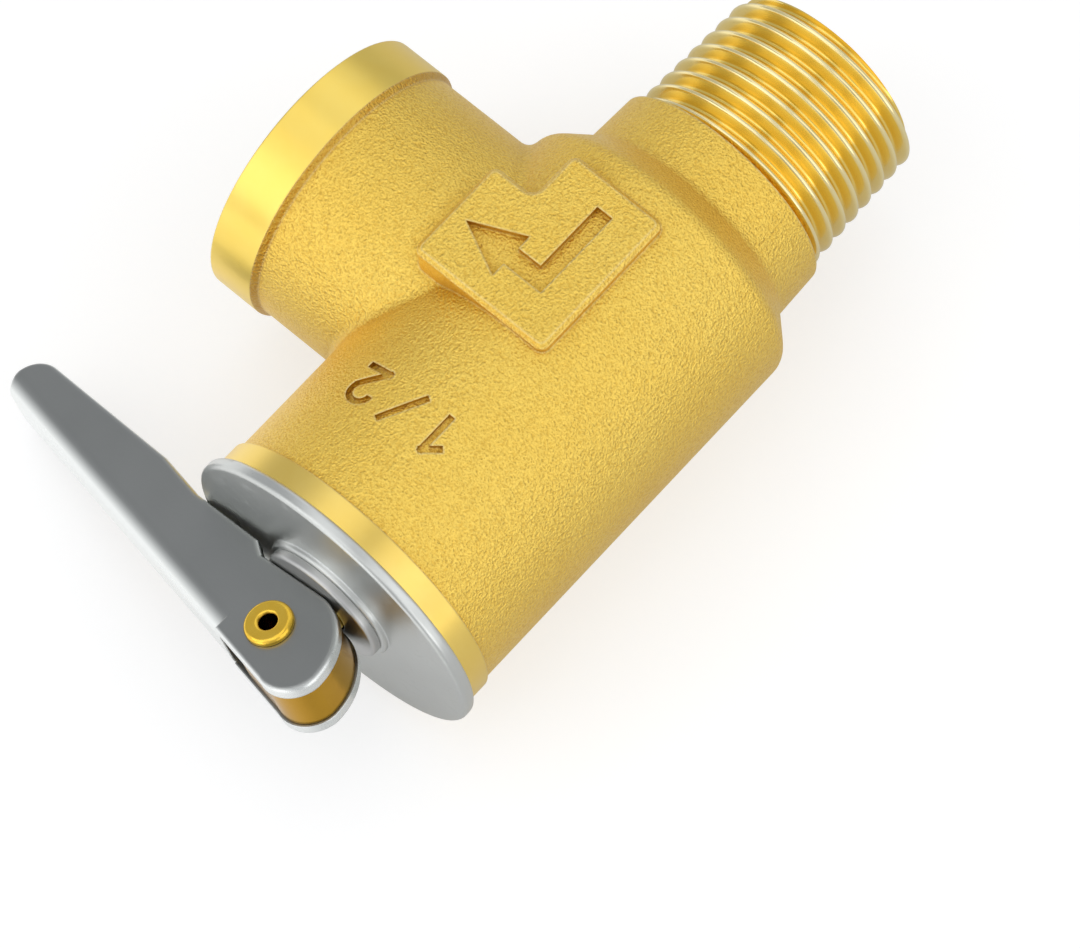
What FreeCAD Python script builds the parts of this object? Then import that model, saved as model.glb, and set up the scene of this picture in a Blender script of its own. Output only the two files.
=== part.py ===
import FreeCAD, Part
import math
import os
import re

import Sketcher
from FreeCAD import Placement, Rotation, Vector

# A half-inch brass pressure relief valve with a lift lever, in millimetres.
# Frame: the origin is the centre of the inlet thread's end face, +Z runs up the valve's axis to the
# lever, and +X is the way the outlet faces. The raised pad with the flow arrow is on the -Y side.

SIZES = {
    # inlet: tapered male pipe thread, 14 turns to the inch, growing 1 in 16 on the diameter
    "thread_pitch": 1.814,
    "thread_depth": 1.162,
    "thread_end_r": 10.22,
    "thread_taper": 0.03125,
    "thread_top": 13.7,
    "thread_lead": 0.75,
    "inlet_bore_r": 6.5,
    # casting: collar, shoulder and barrel, turned lip on top
    "collar_bottom": 14.7,
    "collar_r": 11.3,
    "collar_top": 20.0,
    "collar_top_r": 11.5,
    "shoulder_top": 23.0,
    "shoulder_hollow": 1.3,
    "shoulder_round": 1.8,
    "barrel_r": 14.6,
    "lip_bottom": 62.4,
    "lip_r": 14.95,
    "body_top": 64.7,
    # outlet branch: half-inch parallel female thread
    "outlet_height": 36.4,
    "branch_r": 12.95,
    "branch_round": 1.2,
    "rim_step": 24.0,
    "rim_start": 24.6,
    "rim_r": 13.42,
    "outlet_face": 29.3,
    "outlet_bore_r": 9.316,
    "outlet_bore_end": 17.0,
    "outlet_lead": 1.2,
    "passage_r": 8.2,
    # raised pad and its sunk flow arrow
    "pad_front": 15.25,
    "pad_left": 3.5,
    "pad_right": 11.45,
    "pad_below": 10.8,
    "pad_above": 5.1,
    "pad_notch_x": 6.9,
    "pad_notch_rise": 5.3,
    "pad_corner": 0.9,
    "pad_edge": 0.4,
    "arrow_sink": 0.6,
    "arrow_bar_left": 0.25,
    "arrow_bar_w": 1.7,
    "arrow_bar_below": 8.2,
    "arrow_arm_below": 0.85,
    "arrow_arm_w": 1.9,
    "arrow_head_x": 4.5,
    "arrow_head_len": 5.2,
    "arrow_head_half": 2.4,
    # size mark sunk in the barrel above the pad
    "mark_height": 52.9,
    "mark_digit_h": 4.3,
    "mark_digit_w": 2.7,
    "mark_stroke": 0.62,
    "mark_gap": 1.5,
    "mark_offset": 2.3,
    "mark_sink": 0.38,
    # chambers inside the casting
    "chamber_r": 11.6,
    "chamber_floor": 24.4,
    "screw_bore_r": 12.0,
    "screw_bore_floor": 53.0,
    "seat_pocket_floor": 21.4,
    # seat ring
    "seat_r": 8.4,
    "seat_bore_r": 5.6,
    "seat_lip_r": 6.5,
    "seat_top": 25.0,
    # disc holder, its seal and the seal's fixing
    "holder_bottom": 25.3,
    "holder_top": 31.0,
    "holder_r": 9.4,
    "wing_tip_r": 11.53,
    "wing_w": 3.2,
    "wing_bottom": 25.9,
    "seal_bottom": 25.02,
    "seal_top": 27.3,
    "seal_r": 7.2,
    "seal_washer_r": 3.6,
    "seal_washer_bottom": 24.3,
    "seal_screw_r": 1.5,
    "seal_screw_top": 28.7,
    "seal_head_r": 2.6,
    "seal_head_bottom": 22.9,
    # spindle and its cross pin
    "spindle_r": 2.1,
    "spindle_bottom": 29.0,
    "spindle_shoulder": 67.0,
    "tongue_top": 74.9,
    "tongue_w": 2.0,
    "tongue_half": 2.45,
    "running_gap": 0.05,
    "pin_r": 1.0,
    "pin_half": 9.0,
    "pin_height": 29.95,
    # spring and its two seats
    "spring_seat_r": 9.6,
    "spring_seat_hub_r": 5.9,
    "spring_seat_hub": 1.5,
    "lower_seat_top": 32.3,
    "upper_seat_bottom": 52.4,
    "upper_seat_top": 53.7,
    "spring_mean_r": 7.6,
    "spring_wire_r": 1.15,
    "spring_coils": 6,
    # adjusting screw, guide bush, rings
    "screw_r": 11.95,
    "screw_top": 60.0,
    "screw_floor": 54.7,
    "bush_r": 4.6,
    "bush_top": 58.2,
    "spanner_hole_r": 1.3,
    "spanner_pitch_r": 8.2,
    "spanner_depth": 3.0,
    "stem_ring_r": 0.9,
    "lock_ring_top": 62.2,
    "lock_ring_gap": 0.2,
    "lock_ring_bore_r": 7.0,
    "lock_slot_w": 2.4,
    "spigot_bottom": 63.0,
    "spigot_bore_r": 11.1,
    "seal_ring_w": 0.8,
    # steel cap plate and thrust washer
    "cap_r": 15.6,
    "cap_top": 66.0,
    "cap_edge": 0.42,
    "cap_hole_r": 3.1,
    "boss_r": 6.7,
    "boss_top": 66.55,
    "boss_edge": 0.3,
    "washer_bottom": 66.57,
    "washer_top": 67.42,
    "washer_r": 6.2,
    "washer_bore_r": 2.8,
    "washer_edge": 0.33,
    # lift lever: pressed steel channel turned about the valve's axis and pivoted on a hollow rivet
    "lever_yaw": 18.0,
    "pivot_height": 72.3,
    "lever_half_w": 3.6,
    "sheet": 1.3,
    "cam_drop": 4.8,
    "cam_rise": 1.655,
    "flat_end": 5.9,
    "heel_x": 7.4,
    "heel_drop": 5.75,
    "over_cap_x": 15.6,
    "over_cap_drop": 6.1,
    "belly_x": 21.0,
    "belly_drop": 7.25,
    "tip_x": 40.1,
    "tip_drop": 8.45,
    "tip_round": 2.8,
    "spine_drop": 0.2047,
    "spine_height": 3.87,
    "nose_back": 2.9,
    "spine_start": 4.2,
    "bend_r": 2.0,
    "bend_inner_r": 0.7,
    "edge_r": 0.45,
    # brass pivot block between the cheeks
    "block_half_w": 2.25,
    "block_inset": 0.22,
    "block_front": 1.6,
    "block_bottom": 4.4,
    "slot_gap": 0.04,
    # hollow rivet
    "rivet_r": 1.5,
    "rivet_bore_r": 0.82,
    "rivet_flange_r": 2.3,
    "rivet_flange": 0.62,
    "rivet_gap": 0.05,
}

doc = FreeCAD.newDocument("relief_valve")
sheet = doc.addObject("Spreadsheet::Sheet", "Sizes")
for row, (alias, number) in enumerate(SIZES.items(), start=1):
    sheet.set(f"A{row}", alias)
    sheet.set(f"B{row}", str(number))
    sheet.setAlias(f"B{row}", alias)
doc.recompute()

NODES = []


# ---------------------------------------------------------------- helpers

def size(alias):
    """A driving dimension as the sheet holds it."""
    return float(sheet.get(alias))


def bound(formula):
    """Turn bare size names in a formula into references to the sheet."""
    return re.sub(r"[a-z]\w*", lambda word: "Sizes." + word.group() if word.group() in SIZES else word.group(),
                  formula)


def value(formula):
    """The number a formula of size names joined by + - * / stands for."""
    total = 0.0
    for sign, term in re.findall(r"([+-]?)([^+-]+)", formula.replace(" ", "")):
        product = 1.0
        for operator, factor in re.findall(r"([*/]?)([^*/]+)", term):
            number = size(factor) if factor in SIZES else float(factor)
            product = product / number if operator == "/" else product * number
        total += -product if sign == "-" else product
    return total


def bind(item, **formulas):
    """Bind properties of an object to formulas; __ in a keyword stands for a dot."""
    for key, formula in formulas.items():
        item.setExpression(key.replace("__", "."), bound(formula))


def node(item, name):
    """Name a finished piece, which becomes one file."""
    item.Label = name
    NODES.append(item)
    return item


def new_body(name):
    body = doc.addObject("PartDesign::Body", name)
    body.Label = name
    return body


def sketch_on(body, name, role, lift=None):
    """An empty sketch on one of the body's own origin planes, lifted along its normal if asked."""
    sketch = body.newObject("Sketcher::SketchObject", name)
    plane = next(item for item in body.Origin.OriginFeatures if item.Role == role)
    sketch.AttachmentSupport = (plane, "")
    sketch.MapMode = "FlatFace"
    if lift:
        sketch.AttachmentOffset = Placement(Vector(0, 0, value(lift)), Rotation())
        sketch.setExpression("AttachmentOffset.Base.z", bound(lift))
    return sketch


def fix_point(sketch, geometry, point, across, up):
    """Tie a sketch point to formulas for its two coordinates."""
    for kind, axis, formula in (("DistanceX", -2, across), ("DistanceY", -1, up)):
        if formula == "0":
            sketch.addConstraint(Sketcher.Constraint("PointOnObject", geometry, point, axis))
            continue
        index = sketch.addConstraint(
            Sketcher.Constraint(kind, -1, 1, geometry, point, value(formula)))
        sketch.setExpression(f"Constraints[{index}]", bound(formula))


def polygon(sketch, corners):
    """A closed outline through corners, each given as two formulas."""
    points = [Vector(value(across), value(up), 0) for across, up in corners]
    count = len(points)
    first = sketch.GeometryCount
    for i in range(count):
        sketch.addGeometry(Part.LineSegment(points[i], points[(i + 1) % count]), False)
    for i in range(count):
        sketch.addConstraint(
            Sketcher.Constraint("Coincident", first + i, 2, first + (i + 1) % count, 1))
    for i, (across, up) in enumerate(corners):
        fix_point(sketch, first + i, 1, across, up)
    return sketch


def circle(sketch, across, up, radius):
    centre = Vector(value(across), value(up), 0)
    geometry = sketch.addGeometry(Part.Circle(centre, Vector(0, 0, 1), value(radius)), False)
    index = sketch.addConstraint(Sketcher.Constraint("Radius", geometry, value(radius)))
    sketch.setExpression(f"Constraints[{index}]", bound(radius))
    fix_point(sketch, geometry, 3, across, up)
    return sketch


def turned(body, name, corners, cut=False, axis_height=None):
    """Turn a half section about the body's Z axis, or about a line along X at axis_height."""
    sketch = polygon(sketch_on(body, name + "_section", "XZ_Plane"), corners)
    axis = "V_Axis"
    if axis_height:
        length = 10.0
        height = value(axis_height)
        line = sketch.addGeometry(
            Part.LineSegment(Vector(0, height, 0), Vector(length, height, 0)), True)
        fix_point(sketch, line, 1, "0", axis_height)
        sketch.addConstraint(Sketcher.Constraint("Horizontal", line))
        sketch.addConstraint(Sketcher.Constraint("Distance", line, length))
        axis = "Axis0"
    kind = "PartDesign::Groove" if cut else "PartDesign::Revolution"
    feature = body.newObject(kind, name)
    feature.Profile = sketch
    feature.ReferenceAxis = (sketch, [axis])
    feature.Angle = 360.0
    sketch.Visibility = False
    doc.recompute()
    return feature


def extruded(body, name, sketch, formula, cut=False, midplane=False, reverse=False):
    """Pad or pocket a sketch by a bound length."""
    feature = body.newObject("PartDesign::Pocket" if cut else "PartDesign::Pad", name)
    feature.Profile = sketch
    feature.Length = value(formula)
    feature.setExpression("Length", bound(formula))
    feature.Midplane = midplane
    feature.Reversed = reverse
    doc.recompute()
    return feature


def dress(body, kind, name, base, picked, formula):
    """Round or chamfer the edges of a feature that a test picks."""
    names = [f"Edge{i}" for i, edge in enumerate(base.Shape.Edges, start=1) if picked(edge)]
    feature = body.newObject("PartDesign::" + kind, name)
    feature.Base = (base, names)
    key = "Radius" if kind == "Fillet" else "Size"
    setattr(feature, key, value(formula))
    feature.setExpression(key, bound(formula))
    doc.recompute()
    return feature


def ring_at(edge, radius, height, slack=0.02):
    """Whether an edge is a circle about Z of this radius at this height."""
    curve = edge.Curve
    return (isinstance(curve, Part.Circle) and abs(curve.Radius - radius) < slack
            and abs(curve.Center.z - height) < slack and abs(curve.Center.x) < slack)


def turned_node(name, corners):
    """A node that is one turned section."""
    body = new_body(name)
    turned(body, name + "_turned", corners)
    return node(body, name)


def face_lever(item):
    """Turn an object about the valve's axis to the lever's heading."""
    item.Placement = Placement(Vector(), Rotation(Vector(0, 0, 1), size("lever_yaw")))
    item.setExpression("Placement.Rotation.Angle", bound("lever_yaw * 1 deg"))


def turn_with_lever(item):
    """Place an object modelled at the pivot, lying along X, where the lever stands."""
    item.Placement = Placement(Vector(0, 0, size("pivot_height")),
                               Rotation(Vector(0, 0, 1), size("lever_yaw")))
    item.setExpression("Placement.Base.z", bound("pivot_height"))
    item.setExpression("Placement.Rotation.Angle", bound("lever_yaw * 1 deg"))


# ---------------------------------------------------------------- valve body

def make_casting():
    """The brass casting: thread, collar, barrel, branch and pad, bored from both ends."""
    body = new_body("valve_casting")
    outside = turned(body, "barrel", [
        ("0", "0"),
        ("thread_end_r - thread_lead", "0"),
        ("thread_end_r + thread_taper * thread_lead", "thread_lead"),
        ("thread_end_r + thread_taper * collar_bottom", "collar_bottom"),
        ("collar_r", "collar_bottom"),
        ("collar_top_r", "collar_top"),
        ("barrel_r", "shoulder_top"),
        ("barrel_r", "lip_bottom"),
        ("lip_r", "lip_bottom"),
        ("lip_r", "body_top"),
        ("0", "body_top"),
    ])
    hollow = dress(body, "Fillet", "shoulder_hollow_round", outside,
                   lambda e: ring_at(e, size("collar_top_r"), size("collar_top")), "shoulder_hollow")
    shoulder = dress(body, "Fillet", "shoulder_round_edge", hollow,
                     lambda e: ring_at(e, size("barrel_r"), size("shoulder_top")), "shoulder_round")
    branch = turned(body, "branch", [
        ("0", "outlet_height"),
        ("0", "outlet_height + branch_r"),
        ("rim_step", "outlet_height + branch_r"),
        ("rim_start", "outlet_height + rim_r"),
        ("outlet_face", "outlet_height + rim_r"),
        ("outlet_face", "outlet_height"),
    ], axis_height="outlet_height")

    def is_root(edge):
        """Where the branch runs into the barrel, each half a long bent edge."""
        box = edge.BoundBox
        return (isinstance(edge.Curve, Part.BSplineCurve) and box.XMin > 5 and box.YLength > 10
                and box.ZLength > size("branch_r"))

    root = dress(body, "Fillet", "branch_root", branch, is_root, "branch_round")

    outline = sketch_on(body, "pad_outline", "XZ_Plane")
    polygon(outline, [
        ("0 - pad_left", "outlet_height - pad_below"),
        ("pad_notch_x", "outlet_height - pad_below"),
        ("pad_notch_x", "outlet_height - pad_below + pad_notch_rise"),
        ("pad_right", "outlet_height - pad_below + pad_notch_rise"),
        ("pad_right", "outlet_height + pad_above"),
        ("0 - pad_left", "outlet_height + pad_above"),
    ])
    pad = extruded(body, "pad", outline, "pad_front")
    front = -size("pad_front")
    corners = dress(body, "Fillet", "pad_corners", pad, lambda e: (
        isinstance(e.Curve, Part.Line) and e.BoundBox.YLength > 0.3
        and e.BoundBox.XLength < 0.01 and e.BoundBox.ZLength < 0.01
        and abs(e.BoundBox.YMin - front) < 0.01), "pad_corner")
    edges = dress(body, "Chamfer", "pad_edges", corners, lambda e: (
        abs(e.BoundBox.YMin - front) < 0.01 and e.BoundBox.YLength < 0.01), "pad_edge")

    arrow = sketch_on(body, "arrow_outline", "XZ_Plane", lift="pad_front")
    polygon(arrow, [
        ("arrow_bar_left", "outlet_height - arrow_bar_below"),
        ("arrow_bar_left + arrow_bar_w", "outlet_height - arrow_bar_below"),
        ("arrow_bar_left + arrow_bar_w", "outlet_height - arrow_arm_below"),
        ("arrow_head_x", "outlet_height - arrow_arm_below"),
        ("arrow_head_x", "outlet_height - arrow_arm_below + arrow_arm_w / 2 - arrow_head_half"),
        ("arrow_head_x + arrow_head_len", "outlet_height - arrow_arm_below + arrow_arm_w / 2"),
        ("arrow_head_x", "outlet_height - arrow_arm_below + arrow_arm_w / 2 + arrow_head_half"),
        ("arrow_head_x", "outlet_height - arrow_arm_below + arrow_arm_w"),
        ("arrow_bar_left", "outlet_height - arrow_arm_below + arrow_arm_w"),
    ])
    extruded(body, "arrow", arrow, "arrow_sink", cut=True)

    turned(body, "bores", [
        ("0", "0"),
        ("inlet_bore_r", "0"),
        ("inlet_bore_r", "seat_pocket_floor"),
        ("seat_r", "seat_pocket_floor"),
        ("seat_r", "chamber_floor"),
        ("chamber_r", "chamber_floor"),
        ("chamber_r", "screw_bore_floor"),
        ("screw_bore_r", "screw_bore_floor"),
        ("screw_bore_r", "body_top"),
        ("0", "body_top"),
    ], cut=True)
    turned(body, "outlet_bore", [
        ("spindle_r", "outlet_height"),
        ("spindle_r", "outlet_height + passage_r"),
        ("outlet_bore_end", "outlet_height + passage_r"),
        ("outlet_bore_end", "outlet_height + outlet_bore_r"),
        ("outlet_face - outlet_lead", "outlet_height + outlet_bore_r"),
        ("outlet_face", "outlet_height + outlet_bore_r + outlet_lead"),
        ("outlet_face", "outlet_height"),
    ], cut=True, axis_height="outlet_height")

    # half widths of the thread's groove, as shares of the pitch, at shares of its depth from the crest:
    # flanks 55 degrees apart, eased over at the crest and rounded at the root
    form = [(-0.2, 0.48), (-0.02, 0.47), (0.034, 0.4254), (0.115, 0.3781),
            (0.885, 0.1219), (0.966, 0.0746), (1.0, 0.028)]
    start = "0 - thread_pitch"
    crest = "thread_end_r - thread_taper * thread_pitch"
    lower = [(f"{crest} - thread_depth * {deep}".replace("- thread_depth * -", "+ thread_depth * "),
              f"{start} - thread_pitch * {wide}") for deep, wide in form]
    upper = [(across, up.replace(f"{start} -", f"{start} +")) for across, up in reversed(lower)]
    groove = polygon(sketch_on(body, "groove_section", "XZ_Plane"), lower + upper)
    helix = body.newObject("PartDesign::SubtractiveHelix", "thread_groove")
    helix.Profile = groove
    helix.ReferenceAxis = (groove, ["V_Axis"])
    helix.Mode = "pitch-height-angle"
    helix.Pitch = size("thread_pitch")
    helix.Height = value("thread_top + thread_pitch")
    helix.Angle = math.degrees(math.atan(size("thread_taper")))
    bind(helix, Pitch="thread_pitch", Height="thread_top + thread_pitch")
    helix.setExpression("Angle", bound("atan(thread_taper)"))
    helix.LeftHanded = False
    doc.recompute()
    plain = helix.BaseFeature.Shape.Volume
    if plain - helix.Shape.Volume < 0.01 * plain:
        raise RuntimeError("the thread's groove cut nothing")
    return body


def mark_stroke(name, start, end):
    """One straight stroke of the size mark, from start to end in X and Z."""
    run = Vector(end[0] - start[0], 0, end[1] - start[1])
    width = size("mark_stroke")
    bar = doc.addObject("Part::Box", name)
    bar.Length = run.Length + width
    bar.Height = width
    bar.Width = size("barrel_r")
    bind(bar, Height="mark_stroke", Width="barrel_r")
    angle = -math.degrees(math.atan2(run.z, run.x))
    corner = Vector(-width / 2, -size("barrel_r") * 1.5, -width / 2)
    turn = Rotation(Vector(0, 1, 0), angle)
    bar.Placement = Placement(Vector(start[0], 0, start[1]) + turn.multVec(corner), turn)
    return bar


def mark_bow(name, centre, radius, start_angle, sweep):
    """One round stroke: part of a ring about a line along Y."""
    pipes = []
    for part, pipe_r in (("out", radius + size("mark_stroke") / 2), ("in", radius - size("mark_stroke") / 2)):
        pipe = doc.addObject("Part::Cylinder", f"{name}_{part}")
        pipe.Radius = pipe_r
        pipe.Height = size("barrel_r")
        pipe.Angle = sweep if part == "out" else 360
        facing = Rotation(Vector(1, 0, 0), 90).multiply(Rotation(Vector(0, 0, 1), start_angle))
        pipe.Placement = Placement(Vector(centre[0], -size("barrel_r") * 0.5, centre[1]), facing)
        bind(pipe, Height="barrel_r")
        pipes.append(pipe)
    bow = doc.addObject("Part::Cut", name)
    bow.Base, bow.Tool = pipes
    return bow


def make_mark():
    """The half-inch size mark: strokes cut to an even depth round the barrel."""
    tall, wide = size("mark_digit_h"), size("mark_digit_w")
    half, gap = size("mark_stroke") / 2, size("mark_gap")
    low = size("mark_height") - tall / 2
    left = size("mark_offset") - (wide * 3 + gap * 2) / 2
    one = left + wide * 0.65
    slash = left + wide + gap
    two = slash + wide + gap
    bow_r = wide / 2 - half
    bow_height = low + tall - half - bow_r
    strokes = [
        mark_stroke("one_stem", (one, low + half), (one, low + tall - half)),
        mark_stroke("one_flag", (one - wide * 0.42, low + tall - wide * 0.5), (one, low + tall - half)),
        mark_stroke("slash", (slash + half, low + half), (slash + wide - half, low + tall - half)),
        mark_bow("two_bow", (two + wide / 2, bow_height), bow_r, -35, 215),
        mark_stroke("two_leg", (two + half, low + half),
                    (two + wide / 2 + bow_r * math.cos(math.radians(35)),
                     bow_height - bow_r * math.sin(math.radians(35)))),
        mark_stroke("two_foot", (two + half, low + half), (two + wide - half, low + half)),
    ]
    letters = doc.addObject("Part::MultiFuse", "mark_letters")
    letters.Shapes = strokes
    rings = []
    for part, formula in (("out", "barrel_r + 1"), ("in", "barrel_r - mark_sink")):
        ring = doc.addObject("Part::Cylinder", f"mark_skin_{part}")
        bind(ring, Radius=formula, Height="mark_digit_h * 2")
        ring.Placement = Placement(Vector(0, 0, size("mark_height") - tall), Rotation())
        bind(ring, Placement__Base__z="mark_height - mark_digit_h")
        rings.append(ring)
    skin = doc.addObject("Part::Cut", "mark_skin")
    skin.Base, skin.Tool = rings
    mark = doc.addObject("Part::MultiCommon", "mark")
    mark.Shapes = [letters, skin]
    return mark


def make_valve_body():
    casting = make_casting()
    marked = doc.addObject("Part::Cut", "valve_body")
    marked.Base = casting
    marked.Tool = make_mark()
    doc.recompute()
    return node(marked, "valve_body")


# ---------------------------------------------------------------- seat, disc and spindle

def make_valve_seat():
    turned_node("valve_seat", [
        ("seat_bore_r", "seat_pocket_floor"),
        ("seat_r", "seat_pocket_floor"),
        ("seat_r", "chamber_floor"),
        ("seat_lip_r", "chamber_floor"),
        ("seat_lip_r - 0.2", "seat_top"),
        ("seat_bore_r", "seat_top"),
    ])


def make_disc_holder():
    """The disc that carries the seal: a cup with three guide wings, drilled across for the pin."""
    body = new_body("disc_holder")
    turned(body, "holder_turned", [
        ("seal_screw_r", "seal_top"),
        ("seal_r", "seal_top"),
        ("seal_r", "holder_bottom"),
        ("holder_r - 0.5", "holder_bottom"),
        ("holder_r", "holder_bottom + 0.5"),
        ("holder_r", "holder_top - 0.4"),
        ("holder_r - 0.4", "holder_top"),
        ("spindle_r", "holder_top"),
        ("spindle_r", "spindle_bottom"),
        ("seal_screw_r", "spindle_bottom"),
    ])
    sketch = sketch_on(body, "wing_outline", "XY_Plane", lift="wing_bottom")
    polygon(sketch, [
        ("holder_r - 1", "0 - wing_w / 2"),
        ("wing_tip_r * 0.99", "0 - wing_w / 2"),
        ("wing_tip_r * 0.99", "wing_w / 2"),
        ("holder_r - 1", "wing_w / 2"),
    ])
    wing = extruded(body, "wing", sketch, "holder_top - wing_bottom - 0.6")
    axis = next(item for item in body.Origin.OriginFeatures if item.Role == "Z_Axis")
    wings = body.newObject("PartDesign::PolarPattern", "wings")
    wings.Originals = [wing]
    wings.Axis = (axis, [""])
    wings.Angle = 360
    wings.Occurrences = 3
    body.Tip = wings
    doc.recompute()
    across = sketch_on(body, "pin_hole_outline", "XZ_Plane", lift="0 - holder_r - 3")
    circle(across, "0", "pin_height", "pin_r")
    extruded(body, "pin_hole", across, "holder_r * 2 + 6", cut=True, reverse=True)
    face_lever(body)
    return node(body, "disc_holder")


def make_disc_seal():
    turned_node("disc_seal", [
        ("seal_screw_r", "seal_bottom"),
        ("seal_r", "seal_bottom"),
        ("seal_r", "seal_top"),
        ("seal_screw_r", "seal_top"),
    ])


def make_seal_washer():
    turned_node("seal_washer", [
        ("seal_screw_r", "seal_washer_bottom"),
        ("seal_washer_r - 0.2", "seal_washer_bottom"),
        ("seal_washer_r", "seal_washer_bottom + 0.2"),
        ("seal_washer_r", "seal_bottom"),
        ("seal_screw_r", "seal_bottom"),
    ])


def make_seal_screw():
    body = new_body("seal_screw")
    turned(body, "screw_turned", [
        ("0", "seal_head_bottom"),
        ("seal_head_r - 0.4", "seal_head_bottom"),
        ("seal_head_r", "seal_head_bottom + 0.4"),
        ("seal_head_r", "seal_washer_bottom"),
        ("seal_screw_r", "seal_washer_bottom"),
        ("seal_screw_r", "seal_screw_top"),
        ("0", "seal_screw_top"),
    ])
    slot = sketch_on(body, "screw_slot_outline", "XY_Plane", lift="seal_head_bottom")
    polygon(slot, [
        ("0 - seal_head_r - 1", "0 - 0.35"),
        ("seal_head_r + 1", "0 - 0.35"),
        ("seal_head_r + 1", "0.35"),
        ("0 - seal_head_r - 1", "0.35"),
    ])
    extruded(body, "screw_slot", slot, "0.7", cut=True, reverse=True)
    return node(body, "seal_screw")


def make_spindle():
    """A round rod with a flat tongue on top for the rivet and a cross hole at its foot."""
    body = new_body("spindle")
    turned(body, "rod", [
        ("0", "spindle_bottom"),
        ("spindle_r - running_gap - 0.3", "spindle_bottom"),
        ("spindle_r - running_gap", "spindle_bottom + 0.3"),
        ("spindle_r - running_gap", "spindle_shoulder"),
        ("0", "spindle_shoulder"),
    ])
    tongue = sketch_on(body, "tongue_outline", "XY_Plane", lift="spindle_shoulder")
    polygon(tongue, [
        ("0 - tongue_half", "0 - tongue_w / 2"),
        ("tongue_half", "0 - tongue_w / 2"),
        ("tongue_half", "tongue_w / 2"),
        ("0 - tongue_half", "tongue_w / 2"),
    ])
    extruded(body, "tongue", tongue, "tongue_top - spindle_shoulder")
    eye = sketch_on(body, "eye_outline", "XZ_Plane", lift="0 - spindle_r - 1")
    circle(eye, "0", "pivot_height", "rivet_r")
    circle(eye, "0", "pin_height", "pin_r")
    extruded(body, "eyes", eye, "spindle_r * 2 + 2", cut=True, reverse=True)
    face_lever(body)
    return node(body, "spindle")


def make_spindle_pin():
    """The plain cross pin that ties the spindle to the disc holder, turned to stand square to the lever."""
    body = new_body("spindle_pin")
    section = sketch_on(body, "pin_section", "XZ_Plane", lift="0 - pin_half")
    circle(section, "0", "pin_height", "pin_r")
    extruded(body, "pin", section, "pin_half * 2")
    face_lever(body)
    return node(body, "spindle_pin")


# ---------------------------------------------------------------- spring and its seats

def make_spring_seats():
    turned_node("lower_spring_seat", [
        ("spindle_r", "holder_top"),
        ("spring_seat_r - 0.2", "holder_top"),
        ("spring_seat_r", "holder_top + 0.2"),
        ("spring_seat_r", "lower_seat_top"),
        ("spring_seat_hub_r", "lower_seat_top"),
        ("spring_seat_hub_r - 0.5", "lower_seat_top + spring_seat_hub"),
        ("spindle_r", "lower_seat_top + spring_seat_hub"),
    ])
    turned_node("upper_spring_seat", [
        ("spindle_r + 0.3", "upper_seat_top"),
        ("spring_seat_r", "upper_seat_top"),
        ("spring_seat_r", "upper_seat_bottom"),
        ("spring_seat_hub_r", "upper_seat_bottom"),
        ("spring_seat_hub_r - 0.5", "upper_seat_bottom - spring_seat_hub"),
        ("spindle_r + 0.3", "upper_seat_bottom - spring_seat_hub"),
    ])


def make_spring():
    """A round-wire compression spring with a closed coil at each end, ground flat."""
    mean_r, wire_r = size("spring_mean_r"), size("spring_wire_r")
    bottom, top = size("lower_seat_top"), size("upper_seat_bottom")
    coils = size("spring_coils")
    closed = wire_r * 2.02
    open_height = (top - bottom) - 2 * closed
    wires = []
    height = bottom + 0.15
    for pitch, turns in ((closed, 1), (open_height / coils, coils), (closed, 1)):
        length = pitch * turns - (0.3 if pitch == closed else 0) * 0.5
        helix = Part.makeHelix(length / turns, length, mean_r)
        helix.translate(Vector(0, 0, height))
        wires += helix.Edges
        height += length
    path = Part.Wire(wires)
    section = Part.Wire([Part.makeCircle(wire_r, Vector(mean_r, 0, bottom + 0.15), Vector(0, 1, 0))])
    coil = path.makePipeShell([section], True, True)
    span = Part.makeBox(40, 40, top - bottom, Vector(-20, -20, bottom))
    spring = doc.addObject("Part::Feature", "spring")
    spring.Shape = coil.common(span)
    return node(spring, "spring")


# ---------------------------------------------------------------- adjusting gear under the cap

def make_adjusting_screw():
    body = new_body("adjusting_screw")
    turned(body, "adjusting_turned", [
        ("spindle_r + 0.3", "upper_seat_top"),
        ("screw_r - 0.6", "upper_seat_top"),
        ("screw_r", "upper_seat_top + 0.6"),
        ("screw_r", "screw_top - 0.4"),
        ("screw_r - 0.4", "screw_top"),
        ("bush_r", "screw_top"),
        ("bush_r", "screw_floor"),
        ("spindle_r + 0.3", "screw_floor"),
    ])
    holes = sketch_on(body, "spanner_outline", "XY_Plane", lift="screw_top")
    circle(holes, "spanner_pitch_r", "0", "spanner_hole_r")
    circle(holes, "0 - spanner_pitch_r", "0", "spanner_hole_r")
    extruded(body, "spanner_holes", holes, "spanner_depth", cut=True)
    return node(body, "adjusting_screw")


def make_guide_bush():
    turned_node("guide_bush", [
        ("spindle_r", "screw_floor"),
        ("bush_r", "screw_floor"),
        ("bush_r", "bush_top"),
        ("spindle_r", "bush_top"),
    ])


def make_spindle_o_ring():
    ring = doc.addObject("Part::Torus", "spindle_o_ring")
    bind(ring, Radius1="spindle_r + stem_ring_r", Radius2="stem_ring_r",
         Placement__Base__z="bush_top + stem_ring_r")
    return node(ring, "spindle_o_ring")


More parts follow.
